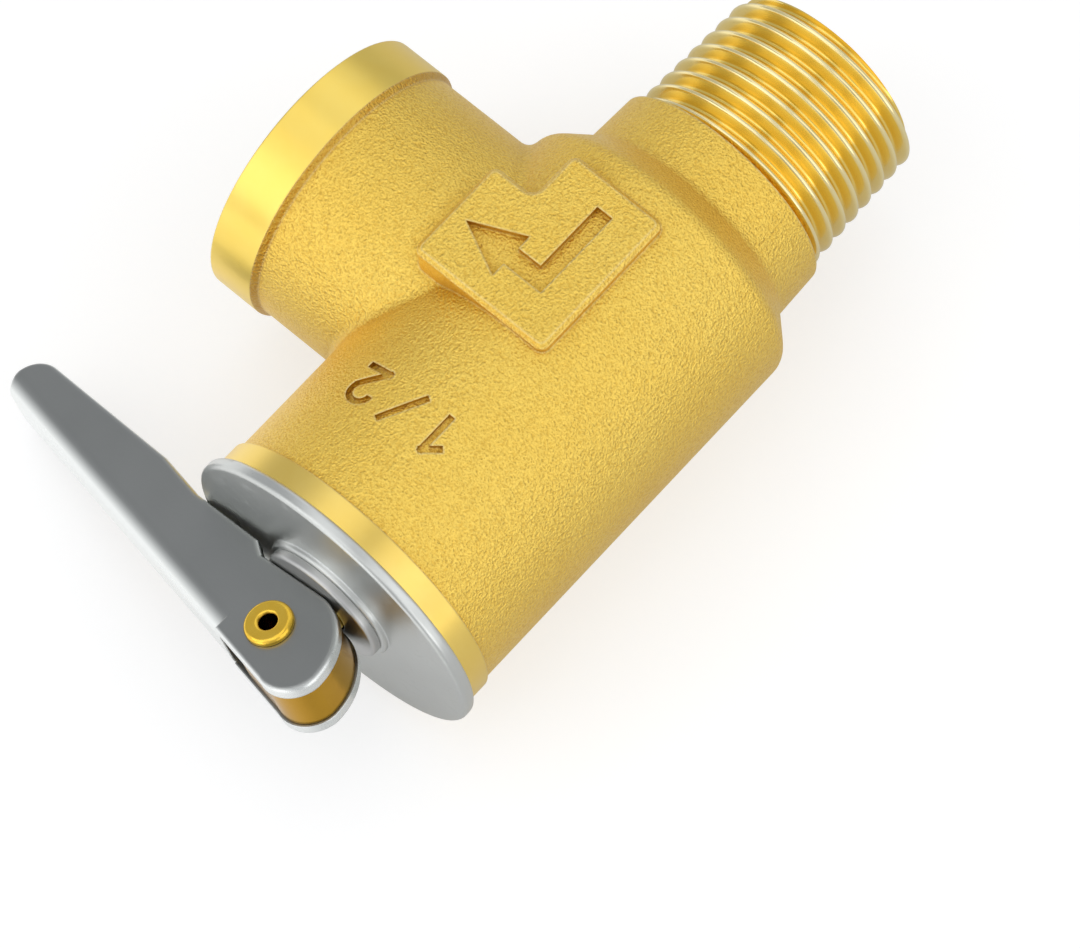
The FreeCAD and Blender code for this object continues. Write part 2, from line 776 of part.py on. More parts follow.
def make_lock_ring():
    body = new_body("lock_ring")
    turned(body, "lock_turned", [
        ("lock_ring_bore_r", "screw_top + lock_ring_gap"),
        ("screw_r", "screw_top + lock_ring_gap"),
        ("screw_r", "lock_ring_top"),
        ("lock_ring_bore_r", "lock_ring_top"),
    ])
    slot = sketch_on(body, "lock_slot_outline", "XY_Plane", lift="lock_ring_top")
    polygon(slot, [
        ("0 - screw_r - 1", "0 - lock_slot_w / 2"),
        ("screw_r + 1", "0 - lock_slot_w / 2"),
        ("screw_r + 1", "lock_slot_w / 2"),
        ("0 - screw_r - 1", "lock_slot_w / 2"),
    ])
    extruded(body, "lock_slots", slot, "1", cut=True)
    return node(body, "lock_ring")


def make_cap_seal_ring():
    turned_node("cap_seal_ring", [
        ("spigot_bore_r", "spigot_bottom - seal_ring_w"),
        ("screw_bore_r - 0.05", "spigot_bottom - seal_ring_w"),
        ("screw_bore_r - 0.05", "spigot_bottom"),
        ("spigot_bore_r", "spigot_bottom"),
    ])


def make_cap_plate():
    """The drawn steel cap: a flat disc with a raised middle and a spigot pressed into the body."""
    body = new_body("cap_plate")
    cap = turned(body, "cap_turned", [
        ("cap_hole_r", "body_top"),
        ("spigot_bore_r", "body_top"),
        ("spigot_bore_r", "spigot_bottom"),
        ("screw_bore_r - 0.02", "spigot_bottom"),
        ("screw_bore_r - 0.02", "body_top"),
        ("cap_r", "body_top"),
        ("cap_r", "cap_top"),
        ("boss_r", "cap_top"),
        ("boss_r", "boss_top"),
        ("cap_hole_r", "boss_top"),
    ])
    rim = dress(body, "Fillet", "cap_rim", cap, lambda e: (
        ring_at(e, size("cap_r"), size("cap_top")) or ring_at(e, size("cap_r"), size("body_top"))),
        "cap_edge")
    dress(body, "Fillet", "boss_rim", rim, lambda e: (
        ring_at(e, size("boss_r"), size("boss_top"))), "boss_edge")
    return node(body, "cap_plate")


def make_thrust_washer():
    body = new_body("thrust_washer")
    flat = turned(body, "washer_turned", [
        ("washer_bore_r", "washer_bottom"),
        ("washer_r", "washer_bottom"),
        ("washer_r", "washer_top"),
        ("washer_bore_r", "washer_top"),
    ])
    dress(body, "Fillet", "washer_rim", flat, lambda e: (
        ring_at(e, size("washer_r"), size("washer_top"))), "washer_edge")
    return node(body, "thrust_washer")


# ---------------------------------------------------------------- lever, pivot block and rivet

def spine_at(along):
    """Height of the lever's back above the pivot."""
    return size("spine_height") - size("spine_drop") * along


def cam_point(turn):
    """A point of the cam nose, whose reach from the pivot grows evenly with the lever's turn."""
    reach = size("cam_drop") + size("cam_rise") * turn
    return Vector(-reach * math.sin(turn) - size("cam_rise") * math.cos(turn), 0,
                  -reach * math.cos(turn) + size("cam_rise") * math.sin(turn))


def arc(start, middle, end):
    return Part.Arc(start, middle, end).toShape()


def line(start, end):
    return Part.makeLine(start, end)


def cheek_outline():
    """The lever's side as one face: cam nose, flat, underside, rounded tip and straight back."""
    quarter = math.pi / 2
    nose = [cam_point(quarter * i / 4) for i in range(5)]
    crown = Vector(-size("nose_back"), 0, spine_at(-size("nose_back")))
    crown_mid = Vector((nose[4].x * 0.79 + crown.x * 0.21), 0, (nose[4].z * 0.29 + crown.z * 0.71))
    flat_end = Vector(size("flat_end"), 0, -size("cam_drop"))
    heel = Vector(size("heel_x"), 0, -size("heel_drop"))
    over_cap = Vector(size("over_cap_x"), 0, -size("over_cap_drop"))
    belly = Vector(size("belly_x"), 0, -size("belly_drop"))
    reach, bend = size("tip_x"), size("tip_round")
    under = Vector(reach - bend, 0, -size("tip_drop"))
    rise = Vector(reach, 0, -size("tip_drop") + bend)
    corner = Vector(reach - bend * (1 - math.sqrt(0.5)), 0, -size("tip_drop") + bend * (1 - math.sqrt(0.5)))
    top = Vector(reach, 0, spine_at(reach))
    edges = [
        arc(nose[0], nose[1], nose[2]),
        arc(nose[2], nose[3], nose[4]),
        arc(nose[4], crown_mid, crown),
        line(crown, top),
        line(top, rise),
        arc(rise, corner, under),
        line(under, belly),
        line(belly, over_cap),
        line(over_cap, heel),
        line(heel, flat_end),
        line(flat_end, nose[0]),
    ]
    return Part.Face(Part.Wire(edges))


def make_lever():
    """A channel: two cheeks joined by a rounded back that stops short of the pivot."""
    face = cheek_outline()
    half, thick = size("lever_half_w"), size("sheet")
    face.translate(Vector(0, -half, 0))
    blank = face.extrude(Vector(0, 2 * half, 0))
    far = 60.0
    split = size("spine_start")
    front = blank.common(Part.makeBox(far, far, far, Vector(split, -far / 2, -far / 2)))
    back = blank.common(Part.makeBox(far, far, far, Vector(split - far, -far / 2, -far / 2)))

    def runs_along_back(edge):
        box = edge.BoundBox
        return (box.XLength > 20 and abs(abs(box.YMin) - half) < 0.01 and box.YLength < 0.01
                and abs(box.ZMax - spine_at(split)) < 0.01)

    front = front.makeFillet(size("bend_r"), [e for e in front.Edges if runs_along_back(e)])
    slope = math.degrees(math.atan(size("spine_drop")))
    inner = half - thick
    groove = Part.makeBox(far, 2 * inner, far, Vector(-far / 4, -inner, -far))
    round_edges = [e for e in groove.Edges
                   if e.BoundBox.XLength > 1 and abs(e.BoundBox.ZMax) < 0.01]
    groove = groove.makeFillet(size("bend_inner_r"), round_edges)
    groove.Placement = Placement(
        Vector(0, 0, spine_at(0) - thick / math.cos(math.radians(slope))), Rotation(Vector(0, 1, 0), slope))
    front = front.cut(groove)
    back = back.cut(Part.makeBox(far, 2 * inner, far, Vector(split - far, -inner, -far / 2)))
    shape = front.fuse(back).removeSplitter()

    def is_outline(edge):
        """An outer edge of a cheek, apart from where the rounded back leaves its face."""
        box = edge.BoundBox
        on_face = box.YLength < 0.01 and abs(abs(box.YMin) - half) < 0.01
        along_back = box.XLength > 20 and box.ZMax > 0
        return on_face and not along_back

    shape = shape.makeFillet(size("edge_r"), [e for e in shape.Edges if is_outline(e)])
    hole = Part.makeCylinder(size("rivet_r") + size("running_gap"), 4 * half,
                             Vector(0, -2 * half, 0), Vector(0, 1, 0))
    shape = shape.cut(hole)
    lever = doc.addObject("Part::Feature", "lever")
    lever.Shape = shape
    turn_with_lever(lever)
    return node(lever, "lever")


def make_pivot_block():
    """A brass block that fills the end of the channel and slips over the spindle's tongue."""
    half, inset = size("block_half_w"), size("block_inset")
    face = cheek_outline().makeOffset2D(-inset)
    face.translate(Vector(0, -half, 0))
    blank = face.extrude(Vector(0, 2 * half, 0))
    far = 40.0
    keep = Part.makeBox(far, far, far, Vector(size("block_front") - far, -far / 2, -size("block_bottom")))
    blank = blank.common(keep)
    gap = size("slot_gap")
    tongue = size("tongue_half") + gap
    slot_top = size("tongue_top") - size("pivot_height") + gap
    slot = Part.makeBox(2 * tongue, size("tongue_w") + 2 * gap, far, Vector(-tongue, -size("tongue_w") / 2 - gap,
                                                                          slot_top - far))
    eye = Part.makeCylinder(size("rivet_r"), 4 * half, Vector(0, -2 * half, 0), Vector(0, 1, 0))
    block = doc.addObject("Part::Feature", "pivot_block")
    block.Shape = blank.cut(slot).cut(eye)
    turn_with_lever(block)
    return node(block, "pivot_block")


def make_rivet():
    """A hollow brass rivet with a rolled flange on each cheek; turned about Z, then laid across."""
    body = new_body("rivet")
    inner = "lever_half_w + rivet_gap"
    outer = inner + " + rivet_flange"
    tube = turned(body, "tube", [
        ("rivet_bore_r", "0 - " + outer.replace("+", "-")),
        ("rivet_flange_r", "0 - " + outer.replace("+", "-")),
        ("rivet_flange_r", "0 - " + inner.replace("+", "-")),
        ("rivet_r", "0 - " + inner.replace("+", "-")),
        ("rivet_r", inner),
        ("rivet_flange_r", inner),
        ("rivet_flange_r", outer),
        ("rivet_bore_r", outer),
    ])
    reach = value(outer)
    rolled = dress(body, "Fillet", "rolled_rims", tube, lambda e: (
        ring_at(e, size("rivet_flange_r"), reach) or ring_at(e, size("rivet_flange_r"), -reach)),
        "rivet_flange * 0.8")
    dress(body, "Fillet", "flared_mouths", rolled, lambda e: (
        ring_at(e, size("rivet_bore_r"), reach) or ring_at(e, size("rivet_bore_r"), -reach)),
        "rivet_flange * 0.6")
    lay = Rotation(Vector(0, 0, 1), size("lever_yaw")).multiply(Rotation(Vector(1, 0, 0), 90))
    body.Placement = Placement(Vector(0, 0, size("pivot_height")), lay)
    body.setExpression("Placement.Base.z", bound("pivot_height"))
    return node(body, "rivet")


# ---------------------------------------------------------------- build, check and write

make_valve_body()
make_valve_seat()
make_disc_holder()
make_disc_seal()
make_seal_washer()
make_seal_screw()
make_spindle()
make_spindle_pin()
make_spring_seats()
make_spring()
make_adjusting_screw()
make_guide_bush()
make_spindle_o_ring()
make_lock_ring()
make_cap_seal_ring()
make_cap_plate()
make_thrust_washer()
make_lever()
make_pivot_block()
make_rivet()
doc.recompute()

faulty = [item.Label for item in doc.Objects if {"Invalid", "Error"} & set(item.State)]
if faulty:
    raise RuntimeError(f"failed features: {faulty}")
for item in NODES:
    if item.Shape.isNull() or not item.Shape.isValid():
        raise RuntimeError(f"bad shape: {item.Label}")

os.makedirs("parts", exist_ok=True)
for item in NODES:
    item.Shape.exportStep(os.path.join("parts", item.Label + ".step"))
    print(item.Label, len(item.Shape.Solids), round(item.Shape.Volume, 1))
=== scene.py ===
import math

import bmesh
import bpy
from mathutils import Matrix, Vector


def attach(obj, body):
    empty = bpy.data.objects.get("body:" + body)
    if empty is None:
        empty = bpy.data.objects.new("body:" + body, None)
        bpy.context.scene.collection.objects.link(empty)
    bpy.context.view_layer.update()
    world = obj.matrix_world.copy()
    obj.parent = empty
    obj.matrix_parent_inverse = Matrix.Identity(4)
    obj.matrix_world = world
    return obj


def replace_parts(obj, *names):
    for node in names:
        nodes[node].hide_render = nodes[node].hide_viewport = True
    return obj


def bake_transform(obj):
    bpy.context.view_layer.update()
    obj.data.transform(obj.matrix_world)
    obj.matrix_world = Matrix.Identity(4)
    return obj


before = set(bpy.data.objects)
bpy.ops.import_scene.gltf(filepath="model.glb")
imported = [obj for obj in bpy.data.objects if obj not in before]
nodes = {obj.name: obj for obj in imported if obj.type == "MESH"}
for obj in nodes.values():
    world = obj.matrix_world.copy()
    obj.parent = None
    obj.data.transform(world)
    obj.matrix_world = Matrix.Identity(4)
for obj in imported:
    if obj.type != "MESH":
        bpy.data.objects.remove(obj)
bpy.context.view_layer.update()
MM = 0.001

# Sizes that the pieces below share with the solids, in millimetres

# the male inlet thread: half-inch, 14 to the inch, on a taper of 1 in 16
THREAD_PITCH = 1.814
THREAD_DEPTH = 1.162
THREAD_TAPER = 1 / 32
THREAD_END_R = 10.22
THREAD_LEAD_R = THREAD_END_R - 0.75
INLET_BORE_R = 6.5
COLLAR_FACE = 14.75

# the outlet: its height, its face and rim, and its bore as it is drawn in the solid
OUTLET_HEIGHT = 36.4
OUTLET_FACE = 29.3
OUTLET_BORE_END = 17.0
OUTLET_BORE_R = 9.316
OUTLET_MOUTH_R = OUTLET_BORE_R + 1.2
RIM_STEP = 23.6
RIM_START = 24.6

# the top of the casting, its chambers, the lever's pivot and the spring's ends
LIP_BOTTOM = 62.4
LIP_INNER_R = 12.2
BORED_WITHIN_R = 14.3
PIVOT_HEIGHT = 72.3

LEVER_YAW = math.radians(18)
PIVOT_AXIS = (math.sin(LEVER_YAW), -math.cos(LEVER_YAW), 0)

# the sheet that the valve lies on, and the point that the lamps face
FLOOR_Y = 16.4
FLOOR_HALF = 3000.0
MIDDLE = (5, 0, 40)

# how bright the sheet is to the camera and, as the valve reflects it, in the valve's shade and clear of it;
# the shade ends between these two values of X + Z
SHEET_SEEN = 0.60
SHEET_SHADED, SHEET_CLEAR = 0.18, 0.58
SHADE_FROM, SHADE_TO = 60.0, 95.0


# ------------------------------------------------------------------ camera

def make_camera():
    """A long lens from the front and above, rolled so that the inlet points up and to the right."""
    data = bpy.data.cameras.new("camera")
    data.sensor_width = 36.0
    data.lens = 200.2
    data.clip_end = 20.0
    camera = bpy.data.objects.new("camera", data)
    bpy.context.scene.collection.objects.link(camera)
    up = Vector((0.5995, -0.3900, -0.6990))
    back = Vector((-0.2903, -0.9198, 0.2642)).normalized()
    right = up.cross(back).normalized()
    up = back.cross(right)
    turn = Matrix((right, up, back)).transposed()
    camera.matrix_world = Matrix.Translation((-0.15820, -0.48188, 0.18411)) @ turn.to_4x4()
    bpy.context.scene.camera = camera


make_camera()


# ------------------------------------------------------------------ material kit

class Maker:
    """A material under construction, with short calls for the nodes it uses."""

    def __init__(self, name):
        self.material = bpy.data.materials.new(name)
        self.material.use_nodes = True
        self.tree = self.material.node_tree
        self.tree.nodes.clear()
        self.out = self.add("ShaderNodeOutputMaterial")
        self.shader = self.add("ShaderNodeBsdfPrincipled")
        self.tree.links.new(self.shader.outputs[0], self.out.inputs["Surface"])
        self.position = self.add("ShaderNodeTexCoord").outputs["Object"]

    def add(self, kind):
        return self.tree.nodes.new(kind)

    def put(self, socket, value):
        if isinstance(value, bpy.types.NodeSocket):
            self.tree.links.new(value, socket)
        elif hasattr(socket.default_value, "__len__") and not hasattr(value, "__len__"):
            socket.default_value = [value] * len(socket.default_value)
        else:
            socket.default_value = value

    def math(self, operation, a, b=0.0):
        node = self.add("ShaderNodeMath")
        node.operation = operation
        self.put(node.inputs[0], a)
        self.put(node.inputs[1], b)
        return node.outputs[0]

    def vector(self, operation, a, b=(0, 0, 0)):
        node = self.add("ShaderNodeVectorMath")
        node.operation = operation
        self.put(node.inputs[0], a)
        self.put(node.inputs[1], b)
        return node.outputs["Value" if operation in ("DOT_PRODUCT", "LENGTH") else "Vector"]

    def split(self, vector):
        node = self.add("ShaderNodeSeparateXYZ")
        self.put(node.inputs[0], vector)
        return node.outputs

    def join(self, x, y, z):
        node = self.add("ShaderNodeCombineXYZ")
        for socket, value in zip(node.inputs, (x, y, z)):
            self.put(socket, value)
        return node.outputs[0]

    def noise(self, scale, detail=3.0, rough=0.5, distort=0.0, vector=None):
        node = self.add("ShaderNodeTexNoise")
        self.put(node.inputs["Vector"], vector or self.position)
        node.inputs["Scale"].default_value = scale
        node.inputs["Detail"].default_value = detail
        node.inputs["Roughness"].default_value = rough
        node.inputs["Distortion"].default_value = distort
        return node.outputs["Fac"]

    def brushed(self, lengthwise):
        """Fine rolling lines along X."""
        stretched = self.vector("MULTIPLY", self.position, (lengthwise, 5200.0, 5200.0))
        return self.noise(1.0, 3.0, 0.6, vector=stretched)

    def rings(self, value, pitch):
        """Fine tool marks that change along one coordinate only."""
        along = self.join(self.math("MULTIPLY", value, 1.0 / pitch), 0.0, 0.0)
        return self.noise(1.0, 2.0, 0.6, vector=along)

    def cells(self, scale):
        node = self.add("ShaderNodeTexVoronoi")
        node.feature = "SMOOTH_F1"
        self.put(node.inputs["Vector"], self.position)
        node.inputs["Scale"].default_value = scale
        return node.outputs["Distance"]

    def ramp(self, value, stops):
        """Map a number to a colour through (position, colour) stops; a float colour is a grey."""
        node = self.add("ShaderNodeValToRGB")
        self.put(node.inputs[0], value)
        ramp = node.color_ramp
        while len(ramp.elements) < len(stops):
            ramp.elements.new(0.5)
        for element, (place, colour) in zip(ramp.elements, stops):
            element.position = place
            element.color = (colour,) * 3 + (1,) if isinstance(colour, float) else tuple(colour) + (1,)
        return node.outputs[0]

    def mix(self, amount, a, b, blend="MIX"):
        node = self.add("ShaderNodeMix")
        node.data_type = "RGBA"
        node.blend_type = blend
        self.put(node.inputs["Factor"], amount)
        for socket, value in ((node.inputs[6], a), (node.inputs[7], b)):
            self.put(socket, value if isinstance(value, bpy.types.NodeSocket) else tuple(value) + (1,))
        return node.outputs[2]

    def rounded(self, radius):
        """The normal as if every edge had this radius."""
        node = self.add("ShaderNodeBevel")
        node.samples = 4
        node.inputs["Radius"].default_value = radius
        return node.outputs[0]

    def edges(self, radius, low, high):
        """1 on edges about as wide as the radius, 0 on open faces."""
        flat = self.add("ShaderNodeNewGeometry").outputs["Normal"]
        facing = self.vector("DOT_PRODUCT", self.rounded(radius), flat)
        return self.ramp(self.math("SUBTRACT", 1.0, facing), [(low, 0.0), (high, 1.0)])

    def openness(self, reach):
        """1 on open faces, falling toward 0 in hollows narrower than the reach."""
        node = self.add("ShaderNodeAmbientOcclusion")
        node.samples = 6
        node.only_local = True
        node.inputs["Distance"].default_value = reach
        return node.outputs["AO"]

    def bump(self, height, strength, distance, under=None):
        node = self.add("ShaderNodeBump")
        self.put(node.inputs["Height"], height)
        node.inputs["Strength"].default_value = strength
        node.inputs["Distance"].default_value = distance
        if under is not None:
            self.put(node.inputs["Normal"], under)
        return node.outputs["Normal"]

    def finish(self, colour, roughness, normal, metallic=1.0):
        self.put(self.shader.inputs["Base Color"], colour)
        self.put(self.shader.inputs["Roughness"], roughness)
        self.put(self.shader.inputs["Normal"], normal)
        self.shader.inputs["Metallic"].default_value = metallic
        return self.material


def cast_brass():
    """Sand-cast brass: close grain with dark pits, patina and painted shade in the hollows, painted shade on
    the step before the rim, worn bright on raised edges.
    """
    m = Maker("cast_brass")
    grain = m.noise(4700.0, 2.0, 0.5, 0.2)
    pores = m.cells(3700.0)
    coarse = m.noise(1000.0, 2.0, 0.5)
    drift = m.noise(70.0, 3.0, 0.5)
    height = m.math("ADD", m.math("MULTIPLY", grain, 0.75), m.math("MULTIPLY", pores, 0.35))
    height = m.math("ADD", height, m.math("MULTIPLY", coarse, 0.12))
    colour = m.mix(drift, (0.98, 0.64, 0.095), (1.0, 0.73, 0.155))
    pits = m.ramp(grain, [(0.34, 1.0), (0.56, 0.0)])
    colour = m.mix(m.math("MULTIPLY", pits, 0.46), colour, (0.66, 0.36, 0.025))
    # painted shade: darker, browner colour in hollows from ambient occlusion, together with some patina
    open_air = m.openness(2.2 * MM)
    tarnish_and_hollow_shade = m.ramp(open_air, [(0.35, 1.0), (0.93, 0.0)])
    colour = m.mix(m.math("MULTIPLY", tarnish_and_hollow_shade, 0.85), colour, (0.56, 0.29, 0.008))
    # painted shade: a darker band on the step between the cast branch and the turned rim
    past_step = m.math("SUBTRACT", m.split(m.position)["X"], RIM_STEP * MM)
    rim_step_shade = m.ramp(m.math("MULTIPLY", past_step, 1 / MM), [(0.15, 0.0), (0.45, 1.0)])
    colour = m.mix(m.math("MULTIPLY", rim_step_shade, 0.55), colour, (0.50, 0.25, 0.02))
    worn = m.math("MULTIPLY", m.edges(0.35 * MM, 0.01, 0.12), m.math("SUBTRACT", 1.0, tarnish_and_hollow_shade))
    colour = m.mix(m.math("MULTIPLY", worn, 0.7), colour, (1.0, 0.86, 0.48))
    rough = m.math("ADD", m.math("MULTIPLY", pits, 0.10), 0.34)
    normal = m.bump(height, 1.0, 0.22 * MM, m.rounded(0.3 * MM))
    m.shader.inputs["Coat Weight"].default_value = 0.3
    m.shader.inputs["Coat Roughness"].default_value = 0.45
    return m.finish(colour, rough, normal)


def thread_brass():
    """The cut thread: crests painted pale as their highlight, roots painted a deeper gold as their shade."""
    m = Maker("thread_brass")
    x, y, z = m.split(m.position)
    radius = m.math("SQRT", m.math("ADD", m.math("MULTIPLY", x, x), m.math("MULTIPLY", y, y)))
    crest = m.math("ADD", m.math("MULTIPLY", z, THREAD_TAPER), THREAD_END_R * MM)
    depth = m.math("MULTIPLY", m.math("SUBTRACT", crest, radius), 1 / MM)
    tool = m.rings(z, MM / 9)
    tarnish_and_hollow_shade = m.noise(220.0, 4.0, 0.6)
    # painted highlight on the crests, fading to painted shade toward the roots, by depth below the crest
    colour = m.ramp(depth, [(0.0, (1.0, 0.88, 0.50)), (0.16, (1.0, 0.83, 0.38)), (0.34, (1.0, 0.80, 0.29)),
                            (0.95, (0.96, 0.71, 0.19))])
    colour = m.mix(m.math("MULTIPLY", tarnish_and_hollow_shade, 0.18), colour, (0.78, 0.50, 0.08))
    rough = m.math("ADD", m.math("MULTIPLY", tool, 0.08), m.math("MULTIPLY", tarnish_and_hollow_shade, 0.12))
    return m.finish(colour, m.math("ADD", rough, 0.10), m.bump(tool, 0.15, 0.01 * MM))


def rivet_brass():
    """A rolled brass eyelet: bright gold ring, and painted shade inside its bore."""
    m = Maker("rivet_brass")
    arm = m.vector("SUBTRACT", m.position, (0, 0, PIVOT_HEIGHT * MM))
    from_axis = m.vector("LENGTH", m.vector("CROSS_PRODUCT", arm, PIVOT_AXIS))
    # painted shade: the colour goes near black within the bore
    clear_of_bore_shade = m.ramp(m.math("MULTIPLY", from_axis, 1 / MM), [(0.82, 0.0), (1.0, 1.0)])
    rolling = m.noise(700.0, 3.0, 0.6)
    colour = m.mix(rolling, (0.95, 0.56, 0.045), (1.0, 0.68, 0.10))
    colour = m.mix(clear_of_bore_shade, (0.16, 0.07, 0.01), colour)
    rough = m.math("ADD", m.math("MULTIPLY", rolling, 0.12), 0.14)
    return m.finish(colour, rough, m.bump(rolling, 0.1, 0.015 * MM, m.rounded(0.12 * MM)))


def turned_brass(name, axis, dark, light, rough, pitch=0.06):
    """Turned brass with fine tool rings along an axis, and a little tarnish."""
    m = Maker(name)
    lines = m.rings(m.split(m.position)[axis], pitch * MM)
    tarnish_and_hollow_shade = m.noise(160.0, 4.0, 0.6)
    colour = m.mix(tarnish_and_hollow_shade, dark, light)
    worn = m.edges(0.2 * MM, 0.04, 0.3)
    colour = m.mix(m.math("MULTIPLY", worn, 0.6), colour, (1.0, 0.88, 0.55))
    roughness = m.math("ADD", m.math("MULTIPLY", lines, 0.1), m.math("MULTIPLY", tarnish_and_hollow_shade, 0.12))
    roughness = m.math("ADD", roughness, rough - 0.1)
    return m.finish(colour, roughness, m.bump(lines, 0.2, 0.012 * MM, m.rounded(0.18 * MM)))


def plated_steel(name, tone, rough, radius):
    """Pressed steel with a satin nickel plate: faint rolling lines, scuffs, bright edges."""
    m = Maker(name)
    lines = m.brushed(400.0)
    clouds = m.noise(140.0, 4.0, 0.55)
    scuffs = m.ramp(m.noise(420.0, 5.0, 0.7, 1.5), [(0.56, 0.0), (0.66, 1.0)])
    colour = m.mix(clouds, tuple(c * 0.9 for c in tone), tone)
    worn = m.edges(radius * MM, 0.03, 0.25)
    colour = m.mix(m.math("MULTIPLY", worn, 0.9), colour, (0.95, 0.96, 0.96))
    roughness = m.math("ADD", m.math("MULTIPLY", lines, 0.08), m.math("MULTIPLY", scuffs, 0.08))
    roughness = m.math("ADD", roughness, m.math("ADD", m.math("MULTIPLY", clouds, 0.08), rough - 0.08))
    return m.finish(colour, roughness, m.bump(lines, 0.12, 0.01 * MM, m.rounded(radius * MM)))


def lever_finish():
    """The pressed lever: brushed grey cheeks, and the rounded edges and the spine painted bright as their
    highlight, where the plate is also left smoother.
    """
    m = Maker("lever_plate")
    lines = m.brushed(300.0)
    clouds = m.noise(120.0, 4.0, 0.55)
    across = m.add("ShaderNodeTexCoord").outputs["Normal"]
    cheek = m.math("ABSOLUTE", m.vector("DOT_PRODUCT", across, PIVOT_AXIS))
    # painted highlight: faces turned away from the pivot axis, the rounded edges and the spine, are coloured
    # near white
    bright = m.ramp(cheek, [(0.55, 1.0), (0.93, 0.0)])
    grey = m.mix(clouds, (0.315, 0.325, 0.32), (0.36, 0.37, 0.365))
    grey = m.mix(m.math("MULTIPLY", lines, 0.25), grey, (0.30, 0.305, 0.30))
    colour = m.mix(bright, grey, (0.88, 0.90, 0.885))
    rough = m.math("ADD", m.math("MULTIPLY", lines, 0.08), m.math("MULTIPLY", clouds, 0.08))
    rough = m.math("ADD", rough, m.math("SUBTRACT", 0.26, m.math("MULTIPLY", bright, 0.06)))
    return m.finish(colour, rough, m.bump(lines, 0.12, 0.01 * MM, m.rounded(0.25 * MM)))


def spring_wire():
    m = Maker("spring_wire")
    draw = m.noise(900.0, 3.0, 0.6)
    colour = m.mix(draw, (0.42, 0.43, 0.45), (0.66, 0.67, 0.69))
    return m.finish(colour, m.math("ADD", m.math("MULTIPLY", draw, 0.2), 0.2), m.bump(draw, 0.15, 0.02 * MM))


def rubber():
    m = Maker("seal_rubber")
    grain = m.noise(2600.0, 3.0, 0.6)
    colour = m.mix(grain, (0.012, 0.012, 0.013), (0.035, 0.035, 0.036))
    return m.finish(colour, m.math("ADD", m.math("MULTIPLY", grain, 0.2), 0.5),
                    m.bump(grain, 0.3, 0.02 * MM, m.rounded(0.1 * MM)), 0.0)


def bearing_plastic():
    m = Maker("bearing_plastic")
    grain = m.noise(1500.0, 3.0, 0.5)
    colour = m.mix(grain, (0.70, 0.68, 0.61), (0.84, 0.82, 0.76))
    return m.finish(colour, m.math("ADD", m.math("MULTIPLY", grain, 0.15), 0.38),
                    m.bump(grain, 0.1, 0.02 * MM, m.rounded(0.1 * MM)), 0.0)


def set_material(name, material):
    mesh = nodes[name].data
    mesh.materials.clear()
    mesh.materials.append(material)


# ------------------------------------------------------------------ mesh pieces

def piece(name, mesh_source, body, materials):
    """A finished bmesh as an object that rides on a body."""
    mesh = bpy.data.meshes.new(name)
    mesh_source.to_mesh(mesh)
    mesh_source.free()
    obj = bpy.data.objects.new(name, mesh)
    bpy.context.scene.collection.objects.link(obj)
    for material in materials:
        mesh.materials.append(material)
    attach(obj, body)
    return obj


def smooth(mesh, angle=32.0):
    """Smooth shading, with edges sharper than the angle kept crisp."""
    for face in mesh.faces:
        face.smooth = True
    limit = math.radians(angle)
    for edge in mesh.edges:
        if len(edge.link_faces) == 2 and edge.calc_face_angle(0.0) > limit:
            edge.smooth = False


def whitworth(share):
    """Depth of a 55 degree rounded thread below its crest, at a share of the pitch from the crest."""
    pitch = THREAD_PITCH
    across = abs(share) * pitch
    radius = 0.1373 * pitch
    flank = math.tan(math.radians(27.5))
    easing = radius * math.cos(math.radians(27.5))
    if across < easing:
        return radius - math.sqrt(radius * radius - across * across)
    if pitch / 2 - across < easing:
        left = pitch / 2 - across
        return THREAD_DEPTH - (radius - math.sqrt(radius * radius - left * left))
    eased = radius * (1 - math.sin(math.radians(27.5)))
    return eased + (across - easing) / flank


def thread_surface(mesh, crest_at, sign, start, end, per_turn=144, steps=18):
    """Ribbons of a helical thread, running one turn past each end; sign is -1 for grooves cut inward."""
    turns = int((end - start) / THREAD_PITCH) + 3
    rows = []
    for j in range(turns * per_turn + 1):
        angle = 2 * math.pi * j / per_turn
        base = start - 2 * THREAD_PITCH + THREAD_PITCH * j / per_turn
        row = []
        for k in range(steps):
            height = base + THREAD_PITCH * k / steps
            share = k / steps if k <= steps / 2 else k / steps - 1
            radius = crest_at(height) + sign * whitworth(share)
            row.append(mesh.verts.new((radius * math.cos(angle), radius * math.sin(angle), height)))
        rows.append(row)
    for j in range(len(rows) - 1):
        for k in range(steps):
            if k + 1 < steps:
                corners = (rows[j][k], rows[j + 1][k], rows[j + 1][k + 1], rows[j][k + 1])
            elif j + 1 + per_turn < len(rows):
                corners = (rows[j][k], rows[j + 1][k], rows[j + 1 + per_turn][0], rows[j + per_turn][0])
            else:
                continue
            mesh.faces.new(corners if sign < 0 else corners[::-1])


def cut(mesh, height, keep_above):
    """Cut the mesh at a height and drop one side."""
    geometry = mesh.verts[:] + mesh.edges[:] + mesh.faces[:]
    bmesh.ops.bisect_plane(mesh, geom=geometry, plane_co=(0, 0, height), plane_no=(0, 0, 1),
                           clear_inner=keep_above, clear_outer=not keep_above, dist=1e-5)


def rim_edges(mesh, height, slack=1e-3):
    return [e for e in mesh.edges if e.is_boundary and all(abs(v.co.z - height) < slack for v in e.verts)]


def ring_wall(mesh, radius, low, high, inward, count=96):
    """A plain tube wall that faces outward or inward."""
    turns = [2 * math.pi * i / count for i in range(count)]
    rows = [[mesh.verts.new((radius * math.cos(turn), radius * math.sin(turn), height)) for turn in turns]
            for height in (low, high)]
    for i in range(count):
        a, b = rows[0][i], rows[0][(i + 1) % count]
        c, d = rows[1][(i + 1) % count], rows[1][i]
        mesh.faces.new((d, c, b, a) if inward else (a, b, c, d))


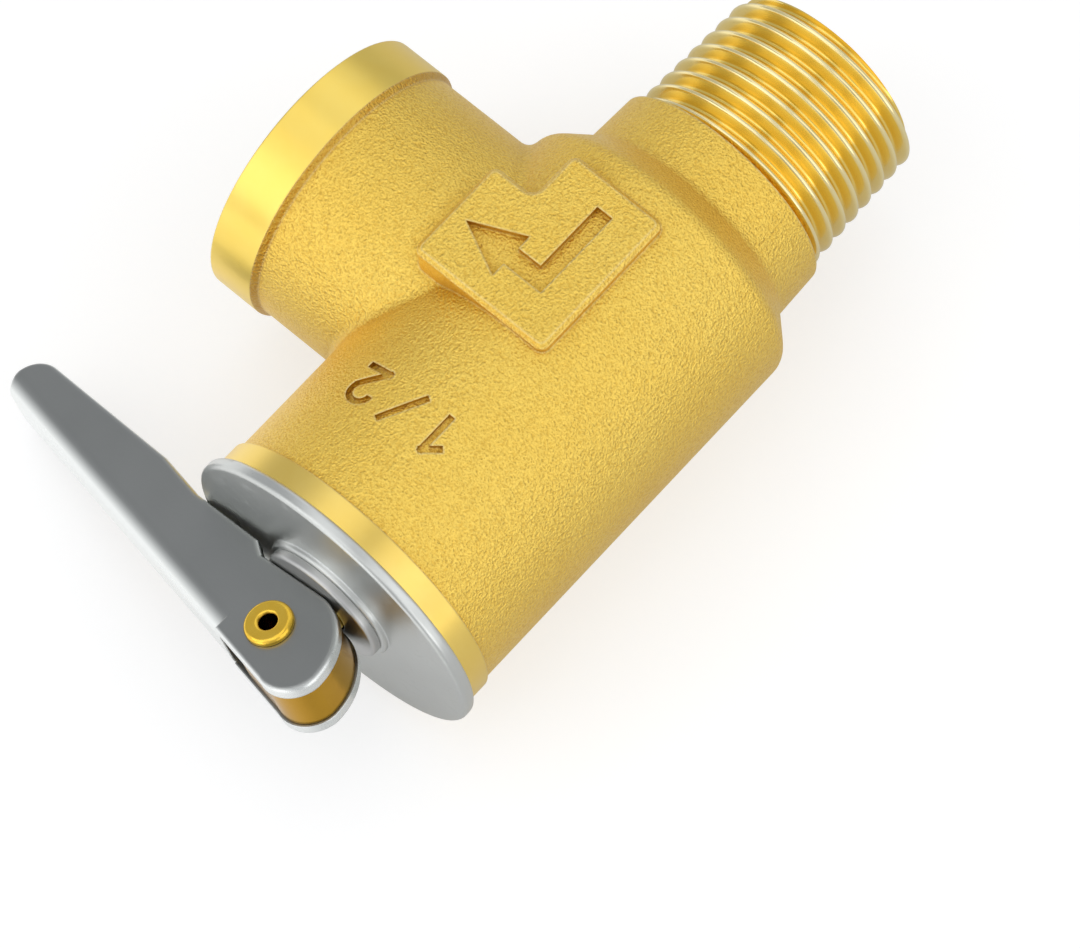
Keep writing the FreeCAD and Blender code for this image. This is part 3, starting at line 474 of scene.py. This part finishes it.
def pull_to_cone(mesh, radius_at, inward):
    """Trim the mesh to a cone about Z by moving the points past it onto it: the chamfer of a thread's end."""
    for vertex in mesh.verts:
        x, y, z = vertex.co
        radius = math.hypot(x, y)
        lead = radius_at(z)
        if (radius > lead) if inward else (radius < lead):
            vertex.co = Vector((x * lead / radius, y * lead / radius, z))


def close_ends(mesh, heights):
    for height in heights:
        bmesh.ops.triangle_fill(mesh, use_beauty=True, edges=rim_edges(mesh, height))
    bmesh.ops.recalc_face_normals(mesh, faces=mesh.faces[:])


def make_inlet_thread(material):
    """The tapered male thread, with rounded crests and roots and a chamfered first turn."""
    mesh = bmesh.new()
    top = COLLAR_FACE + 0.2
    thread_surface(mesh, lambda height: THREAD_END_R + THREAD_TAPER * height, -1, 0.0, top)
    cut(mesh, 0.0, True)
    cut(mesh, top, False)
    pull_to_cone(mesh, lambda height: THREAD_LEAD_R + 1.03 * height, True)
    ring_wall(mesh, INLET_BORE_R, 0.0, top, True)
    close_ends(mesh, (0.0, top))
    bmesh.ops.scale(mesh, vec=(MM, MM, MM), verts=mesh.verts)
    smooth(mesh, 40.0)
    return piece("inlet_thread", mesh, "casting", [material])


def make_outlet_thread(material):
    """The parallel female thread inside the outlet, modelled along Z and then laid along X."""
    mesh = bmesh.new()
    depth = OUTLET_FACE - OUTLET_BORE_END
    outer = OUTLET_MOUTH_R + 0.5
    end = depth - 0.02
    thread_surface(mesh, lambda height: OUTLET_BORE_R, 1, 0.0, depth)
    cut(mesh, 0.0, True)
    cut(mesh, end, False)
    pull_to_cone(mesh, lambda height: OUTLET_MOUTH_R - (depth - height), False)
    ring_wall(mesh, outer, 0.0, end, False)
    close_ends(mesh, (0.0, end))
    lay = Matrix.Translation((OUTLET_BORE_END, 0, OUTLET_HEIGHT)) @ Matrix.Rotation(math.radians(90), 4, "Y")
    bmesh.ops.transform(mesh, matrix=lay, verts=mesh.verts)
    bmesh.ops.scale(mesh, vec=(MM, MM, MM), verts=mesh.verts)
    smooth(mesh, 40.0)
    return piece("outlet_thread", mesh, "casting", [material])


def from_outlet(point):
    """Distance from the outlet's axis."""
    return math.hypot(point.y, point.z - OUTLET_HEIGHT)


def is_outlet_wall(face):
    """Whether a face lies on the outlet's plain bore or on the chamfer at its mouth."""
    points = [v.co for v in face.verts]
    past_bore_end = all(point.x > OUTLET_BORE_END - 0.01 for point in points)
    at_wall = all(OUTLET_BORE_R - 0.05 < from_outlet(point) < OUTLET_MOUTH_R + 0.02 for point in points)
    return past_bore_end and at_wall and face.calc_center_median().x > OUTLET_BORE_END + 0.02


def open_outlet(mesh):
    """Swap the outlet's plain bore for a wider pocket that the threaded lining fills."""
    wall = [face for face in mesh.faces if is_outlet_wall(face)]
    bmesh.ops.delete(mesh, geom=wall, context="FACES")
    inner, mouth = ([e for e in mesh.edges if e.is_boundary and abs(e.verts[0].co.x - end) < 0.02]
                    for end in (OUTLET_BORE_END, OUTLET_FACE))
    pocket_r = OUTLET_MOUTH_R + 0.3
    pocket_length = OUTLET_FACE - OUTLET_BORE_END - 0.15
    for shift in (0.0, pocket_length):
        made = bmesh.ops.extrude_edge_only(mesh, edges=inner)["geom"]
        for vertex in (v for v in made if isinstance(v, bmesh.types.BMVert)):
            share = pocket_r / from_outlet(vertex.co)
            vertex.co.y *= share
            vertex.co.z = OUTLET_HEIGHT + (vertex.co.z - OUTLET_HEIGHT) * share
            vertex.co.x += shift
        inner = [e for e in made if isinstance(e, bmesh.types.BMEdge)]
    bmesh.ops.bridge_loops(mesh, edges=inner + mouth)
    bmesh.ops.recalc_face_normals(mesh, faces=mesh.faces[:])


def machined_region(face):
    """Which material a face of the casting has: 0 as cast, 1 the turned lip, 2 the turned rim, 3 the bores."""
    middle = face.calc_center_median()
    out = math.hypot(middle.x, middle.y)
    if middle.z > LIP_BOTTOM - 0.01 and out > LIP_INNER_R:
        return 1
    if middle.x > RIM_START - 0.01:
        return 2
    faces_inward = face.normal.x * middle.x + face.normal.y * middle.y < -0.01
    return 3 if faces_inward and out < BORED_WITHIN_R else 0


def make_casting(cast, lip, rim, bore):
    """The casting without its inlet thread, and with its outlet opened up to take the threaded lining."""
    mesh = bmesh.new()
    mesh.from_mesh(nodes["valve_body"].data)
    bmesh.ops.scale(mesh, vec=(1 / MM, 1 / MM, 1 / MM), verts=mesh.verts)
    bmesh.ops.remove_doubles(mesh, verts=mesh.verts, dist=2e-4)
    cut(mesh, COLLAR_FACE, True)
    bmesh.ops.triangle_fill(mesh, use_beauty=True, edges=rim_edges(mesh, COLLAR_FACE))
    open_outlet(mesh)
    smooth(mesh)
    for face in mesh.faces:
        face.material_index = machined_region(face)
    bmesh.ops.scale(mesh, vec=(MM, MM, MM), verts=mesh.verts)
    return piece("casting", mesh, "casting", [cast, lip, rim, bore])


def make_spring(material):
    """The spring as an object of its own, with the wire finish; in the real valve its lower end rises with the
    disc while its upper end stays, so it shortens.
    """
    mesh = nodes["spring"].data.copy()
    mesh.name = "pressure_spring"
    mesh.materials.clear()
    mesh.materials.append(material)
    spring = bpy.data.objects.new("pressure_spring", mesh)
    bpy.context.scene.collection.objects.link(spring)
    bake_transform(spring)
    return spring


cast = cast_brass()
turned_z = turned_brass("turned_about_axis", "Z",
                        dark=(0.94, 0.64, 0.12), light=(1.0, 0.77, 0.24), rough=0.3)
turned_x = turned_brass("turned_rim", "X", dark=(0.97, 0.67, 0.11), light=(1.0, 0.78, 0.21), rough=0.3)
thread_gold = thread_brass()
bore_brass = turned_brass("bore_brass", "Z", dark=(0.7, 0.44, 0.1), light=(0.85, 0.6, 0.2), rough=0.35)
gold = rivet_brass()
block = turned_brass("block_brass", "Z", dark=(0.47, 0.24, 0.018), light=(0.66, 0.38, 0.04), rough=0.2)
lever_steel = lever_finish()
cap_steel = plated_steel("cap_plate_finish", (0.68, 0.695, 0.675), 0.30, 0.3)
washer_steel = plated_steel("washer_finish", (0.60, 0.60, 0.59), 0.34, 0.25)
stainless = plated_steel("stainless", (0.70, 0.70, 0.71), 0.2, 0.1)
black = rubber()
wire = spring_wire()

FINISHES = {
    "valve_seat": turned_z, "disc_holder": turned_z, "spindle": turned_z, "lower_spring_seat": turned_z,
    "upper_spring_seat": turned_z, "adjusting_screw": turned_z, "lock_ring": turned_z,
    "seal_screw": stainless, "seal_washer": stainless, "spindle_pin": stainless, "spring": wire,
    "disc_seal": black, "spindle_o_ring": black, "cap_seal_ring": black, "guide_bush": bearing_plastic(),
    "cap_plate": cap_steel, "thrust_washer": washer_steel, "lever": lever_steel,
    "pivot_block": block, "rivet": gold,
}
for name, finish in FINISHES.items():
    set_material(name, finish)

casting = make_casting(cast, turned_z, turned_x, bore_brass)
inlet = make_inlet_thread(thread_gold)
outlet = make_outlet_thread(turned_x)
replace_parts(casting, "valve_body")
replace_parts(inlet, "valve_body")
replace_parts(outlet, "valve_body")
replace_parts(make_spring(wire), "spring")


# ------------------------------------------------------------------ floor and light

def make_floor():
    """A pale sheet behind the valve, seen only from its front. The valve's own reflections of it are darker
    on the side where it lies in the valve's shade."""
    corners = [(x * FLOOR_HALF * MM, FLOOR_Y * MM, z * FLOOR_HALF * MM)
               for x, z in ((-1, -1), (1, -1), (1, 1), (-1, 1))]
    mesh = bpy.data.meshes.new("floor")
    mesh.from_pydata(corners, [], [(0, 1, 2, 3)])
    floor = bpy.data.objects.new("floor", mesh)
    bpy.context.scene.collection.objects.link(floor)
    material = bpy.data.materials.new("floor")
    material.use_nodes = True
    tree = material.node_tree
    tree.nodes.clear()
    out = tree.nodes.new("ShaderNodeOutputMaterial")
    paper = tree.nodes.new("ShaderNodeBsdfDiffuse")
    paper.inputs["Color"].default_value = (0.5, 0.5, 0.5, 1)
    glow = tree.nodes.new("ShaderNodeEmission")
    place = tree.nodes.new("ShaderNodeSeparateXYZ")
    tree.links.new(tree.nodes.new("ShaderNodeTexCoord").outputs["Object"], place.inputs[0])
    toward_lever = tree.nodes.new("ShaderNodeMath")
    tree.links.new(place.outputs["X"], toward_lever.inputs[0])
    tree.links.new(place.outputs["Z"], toward_lever.inputs[1])
    shade = tree.nodes.new("ShaderNodeMapRange")
    shade.inputs["From Min"].default_value = SHADE_FROM * MM
    shade.inputs["From Max"].default_value = SHADE_TO * MM
    shade.inputs["To Min"].default_value = SHEET_SHADED
    shade.inputs["To Max"].default_value = SHEET_CLEAR
    tree.links.new(toward_lever.outputs[0], shade.inputs["Value"])
    shown = tree.nodes.new("ShaderNodeLightPath")
    strength = tree.nodes.new("ShaderNodeMapRange")
    strength.inputs["To Max"].default_value = SHEET_SEEN
    tree.links.new(shown.outputs["Is Camera Ray"], strength.inputs["Value"])
    tree.links.new(shade.outputs["Result"], strength.inputs["To Min"])
    tree.links.new(strength.outputs["Result"], glow.inputs["Strength"])
    both = tree.nodes.new("ShaderNodeAddShader")
    clear = tree.nodes.new("ShaderNodeBsdfTransparent")
    side = tree.nodes.new("ShaderNodeNewGeometry")
    mix = tree.nodes.new("ShaderNodeMixShader")
    tree.links.new(paper.outputs[0], both.inputs[0])
    tree.links.new(glow.outputs[0], both.inputs[1])
    tree.links.new(side.outputs["Backfacing"], mix.inputs[0])
    tree.links.new(both.outputs[0], mix.inputs[1])
    tree.links.new(clear.outputs[0], mix.inputs[2])
    tree.links.new(mix.outputs[0], out.inputs["Surface"])
    mesh.materials.append(material)


def make_world():
    """A dim neutral room."""
    world = bpy.data.worlds.new("world")
    bpy.context.scene.world = world
    world.use_nodes = True
    sky = world.node_tree.nodes["Background"]
    sky.inputs[0].default_value = (0.95, 0.97, 1.0, 1)
    sky.inputs[1].default_value = 0.52


def soft_box(name, height, turn, brightness, distance=0.6, size=0.4):
    """A square lamp facing the valve, at a height above the sheet and a direction in the picture."""
    level, around = math.radians(height), math.radians(turn)
    out = math.cos(level)
    direction = Vector((math.cos(around) * out, math.sin(around) * out, math.sin(level)))
    axes = bpy.context.scene.camera.matrix_world.to_3x3()
    middle = Vector(MIDDLE) * MM
    data = bpy.data.lights.new(name, "AREA")
    data.shape = "SQUARE"
    data.size = size
    data.energy = brightness * math.pi * size * size
    light = bpy.data.objects.new(name, data)
    bpy.context.scene.collection.objects.link(light)
    light.location = middle + axes @ direction.normalized() * distance
    light.rotation_euler = (middle - light.location).to_track_quat("-Z", "Y").to_euler()


# The soft boxes of the light tent round the valve: height above the sheet and direction in the picture,
# both in degrees (0 is its right side, 90 its top), and brightness
SOFT_BOXES = {
    "low_right": (12, 0, 0.5), "low_top": (12, 90, 0.4), "low_left": (12, 180, 0.4),
    "low_bottom_left": (12, 225, 1.1), "low_bottom_right": (12, 315, 0.9),
    "right": (35, 0, 0.35), "top_right": (35, 45, 0.4), "top": (35, 90, 0.3), "left": (35, 180, 0.85),
    "bottom_left": (35, 225, 0.4), "bottom_right": (35, 315, 0.75),
    "high_right": (60, 0, 0.6), "high_top": (60, 120, 0.65), "high_left": (60, 180, 0.4),
    "overhead": (90, 0, 0.3),
}
TENT_BRIGHTNESS = 0.88

make_floor()
make_world()
for box, (height, turn, brightness) in SOFT_BOXES.items():
    soft_box(box, height, turn, brightness * TENT_BRIGHTNESS)
bpy.context.scene.view_settings.view_transform = "Standard"
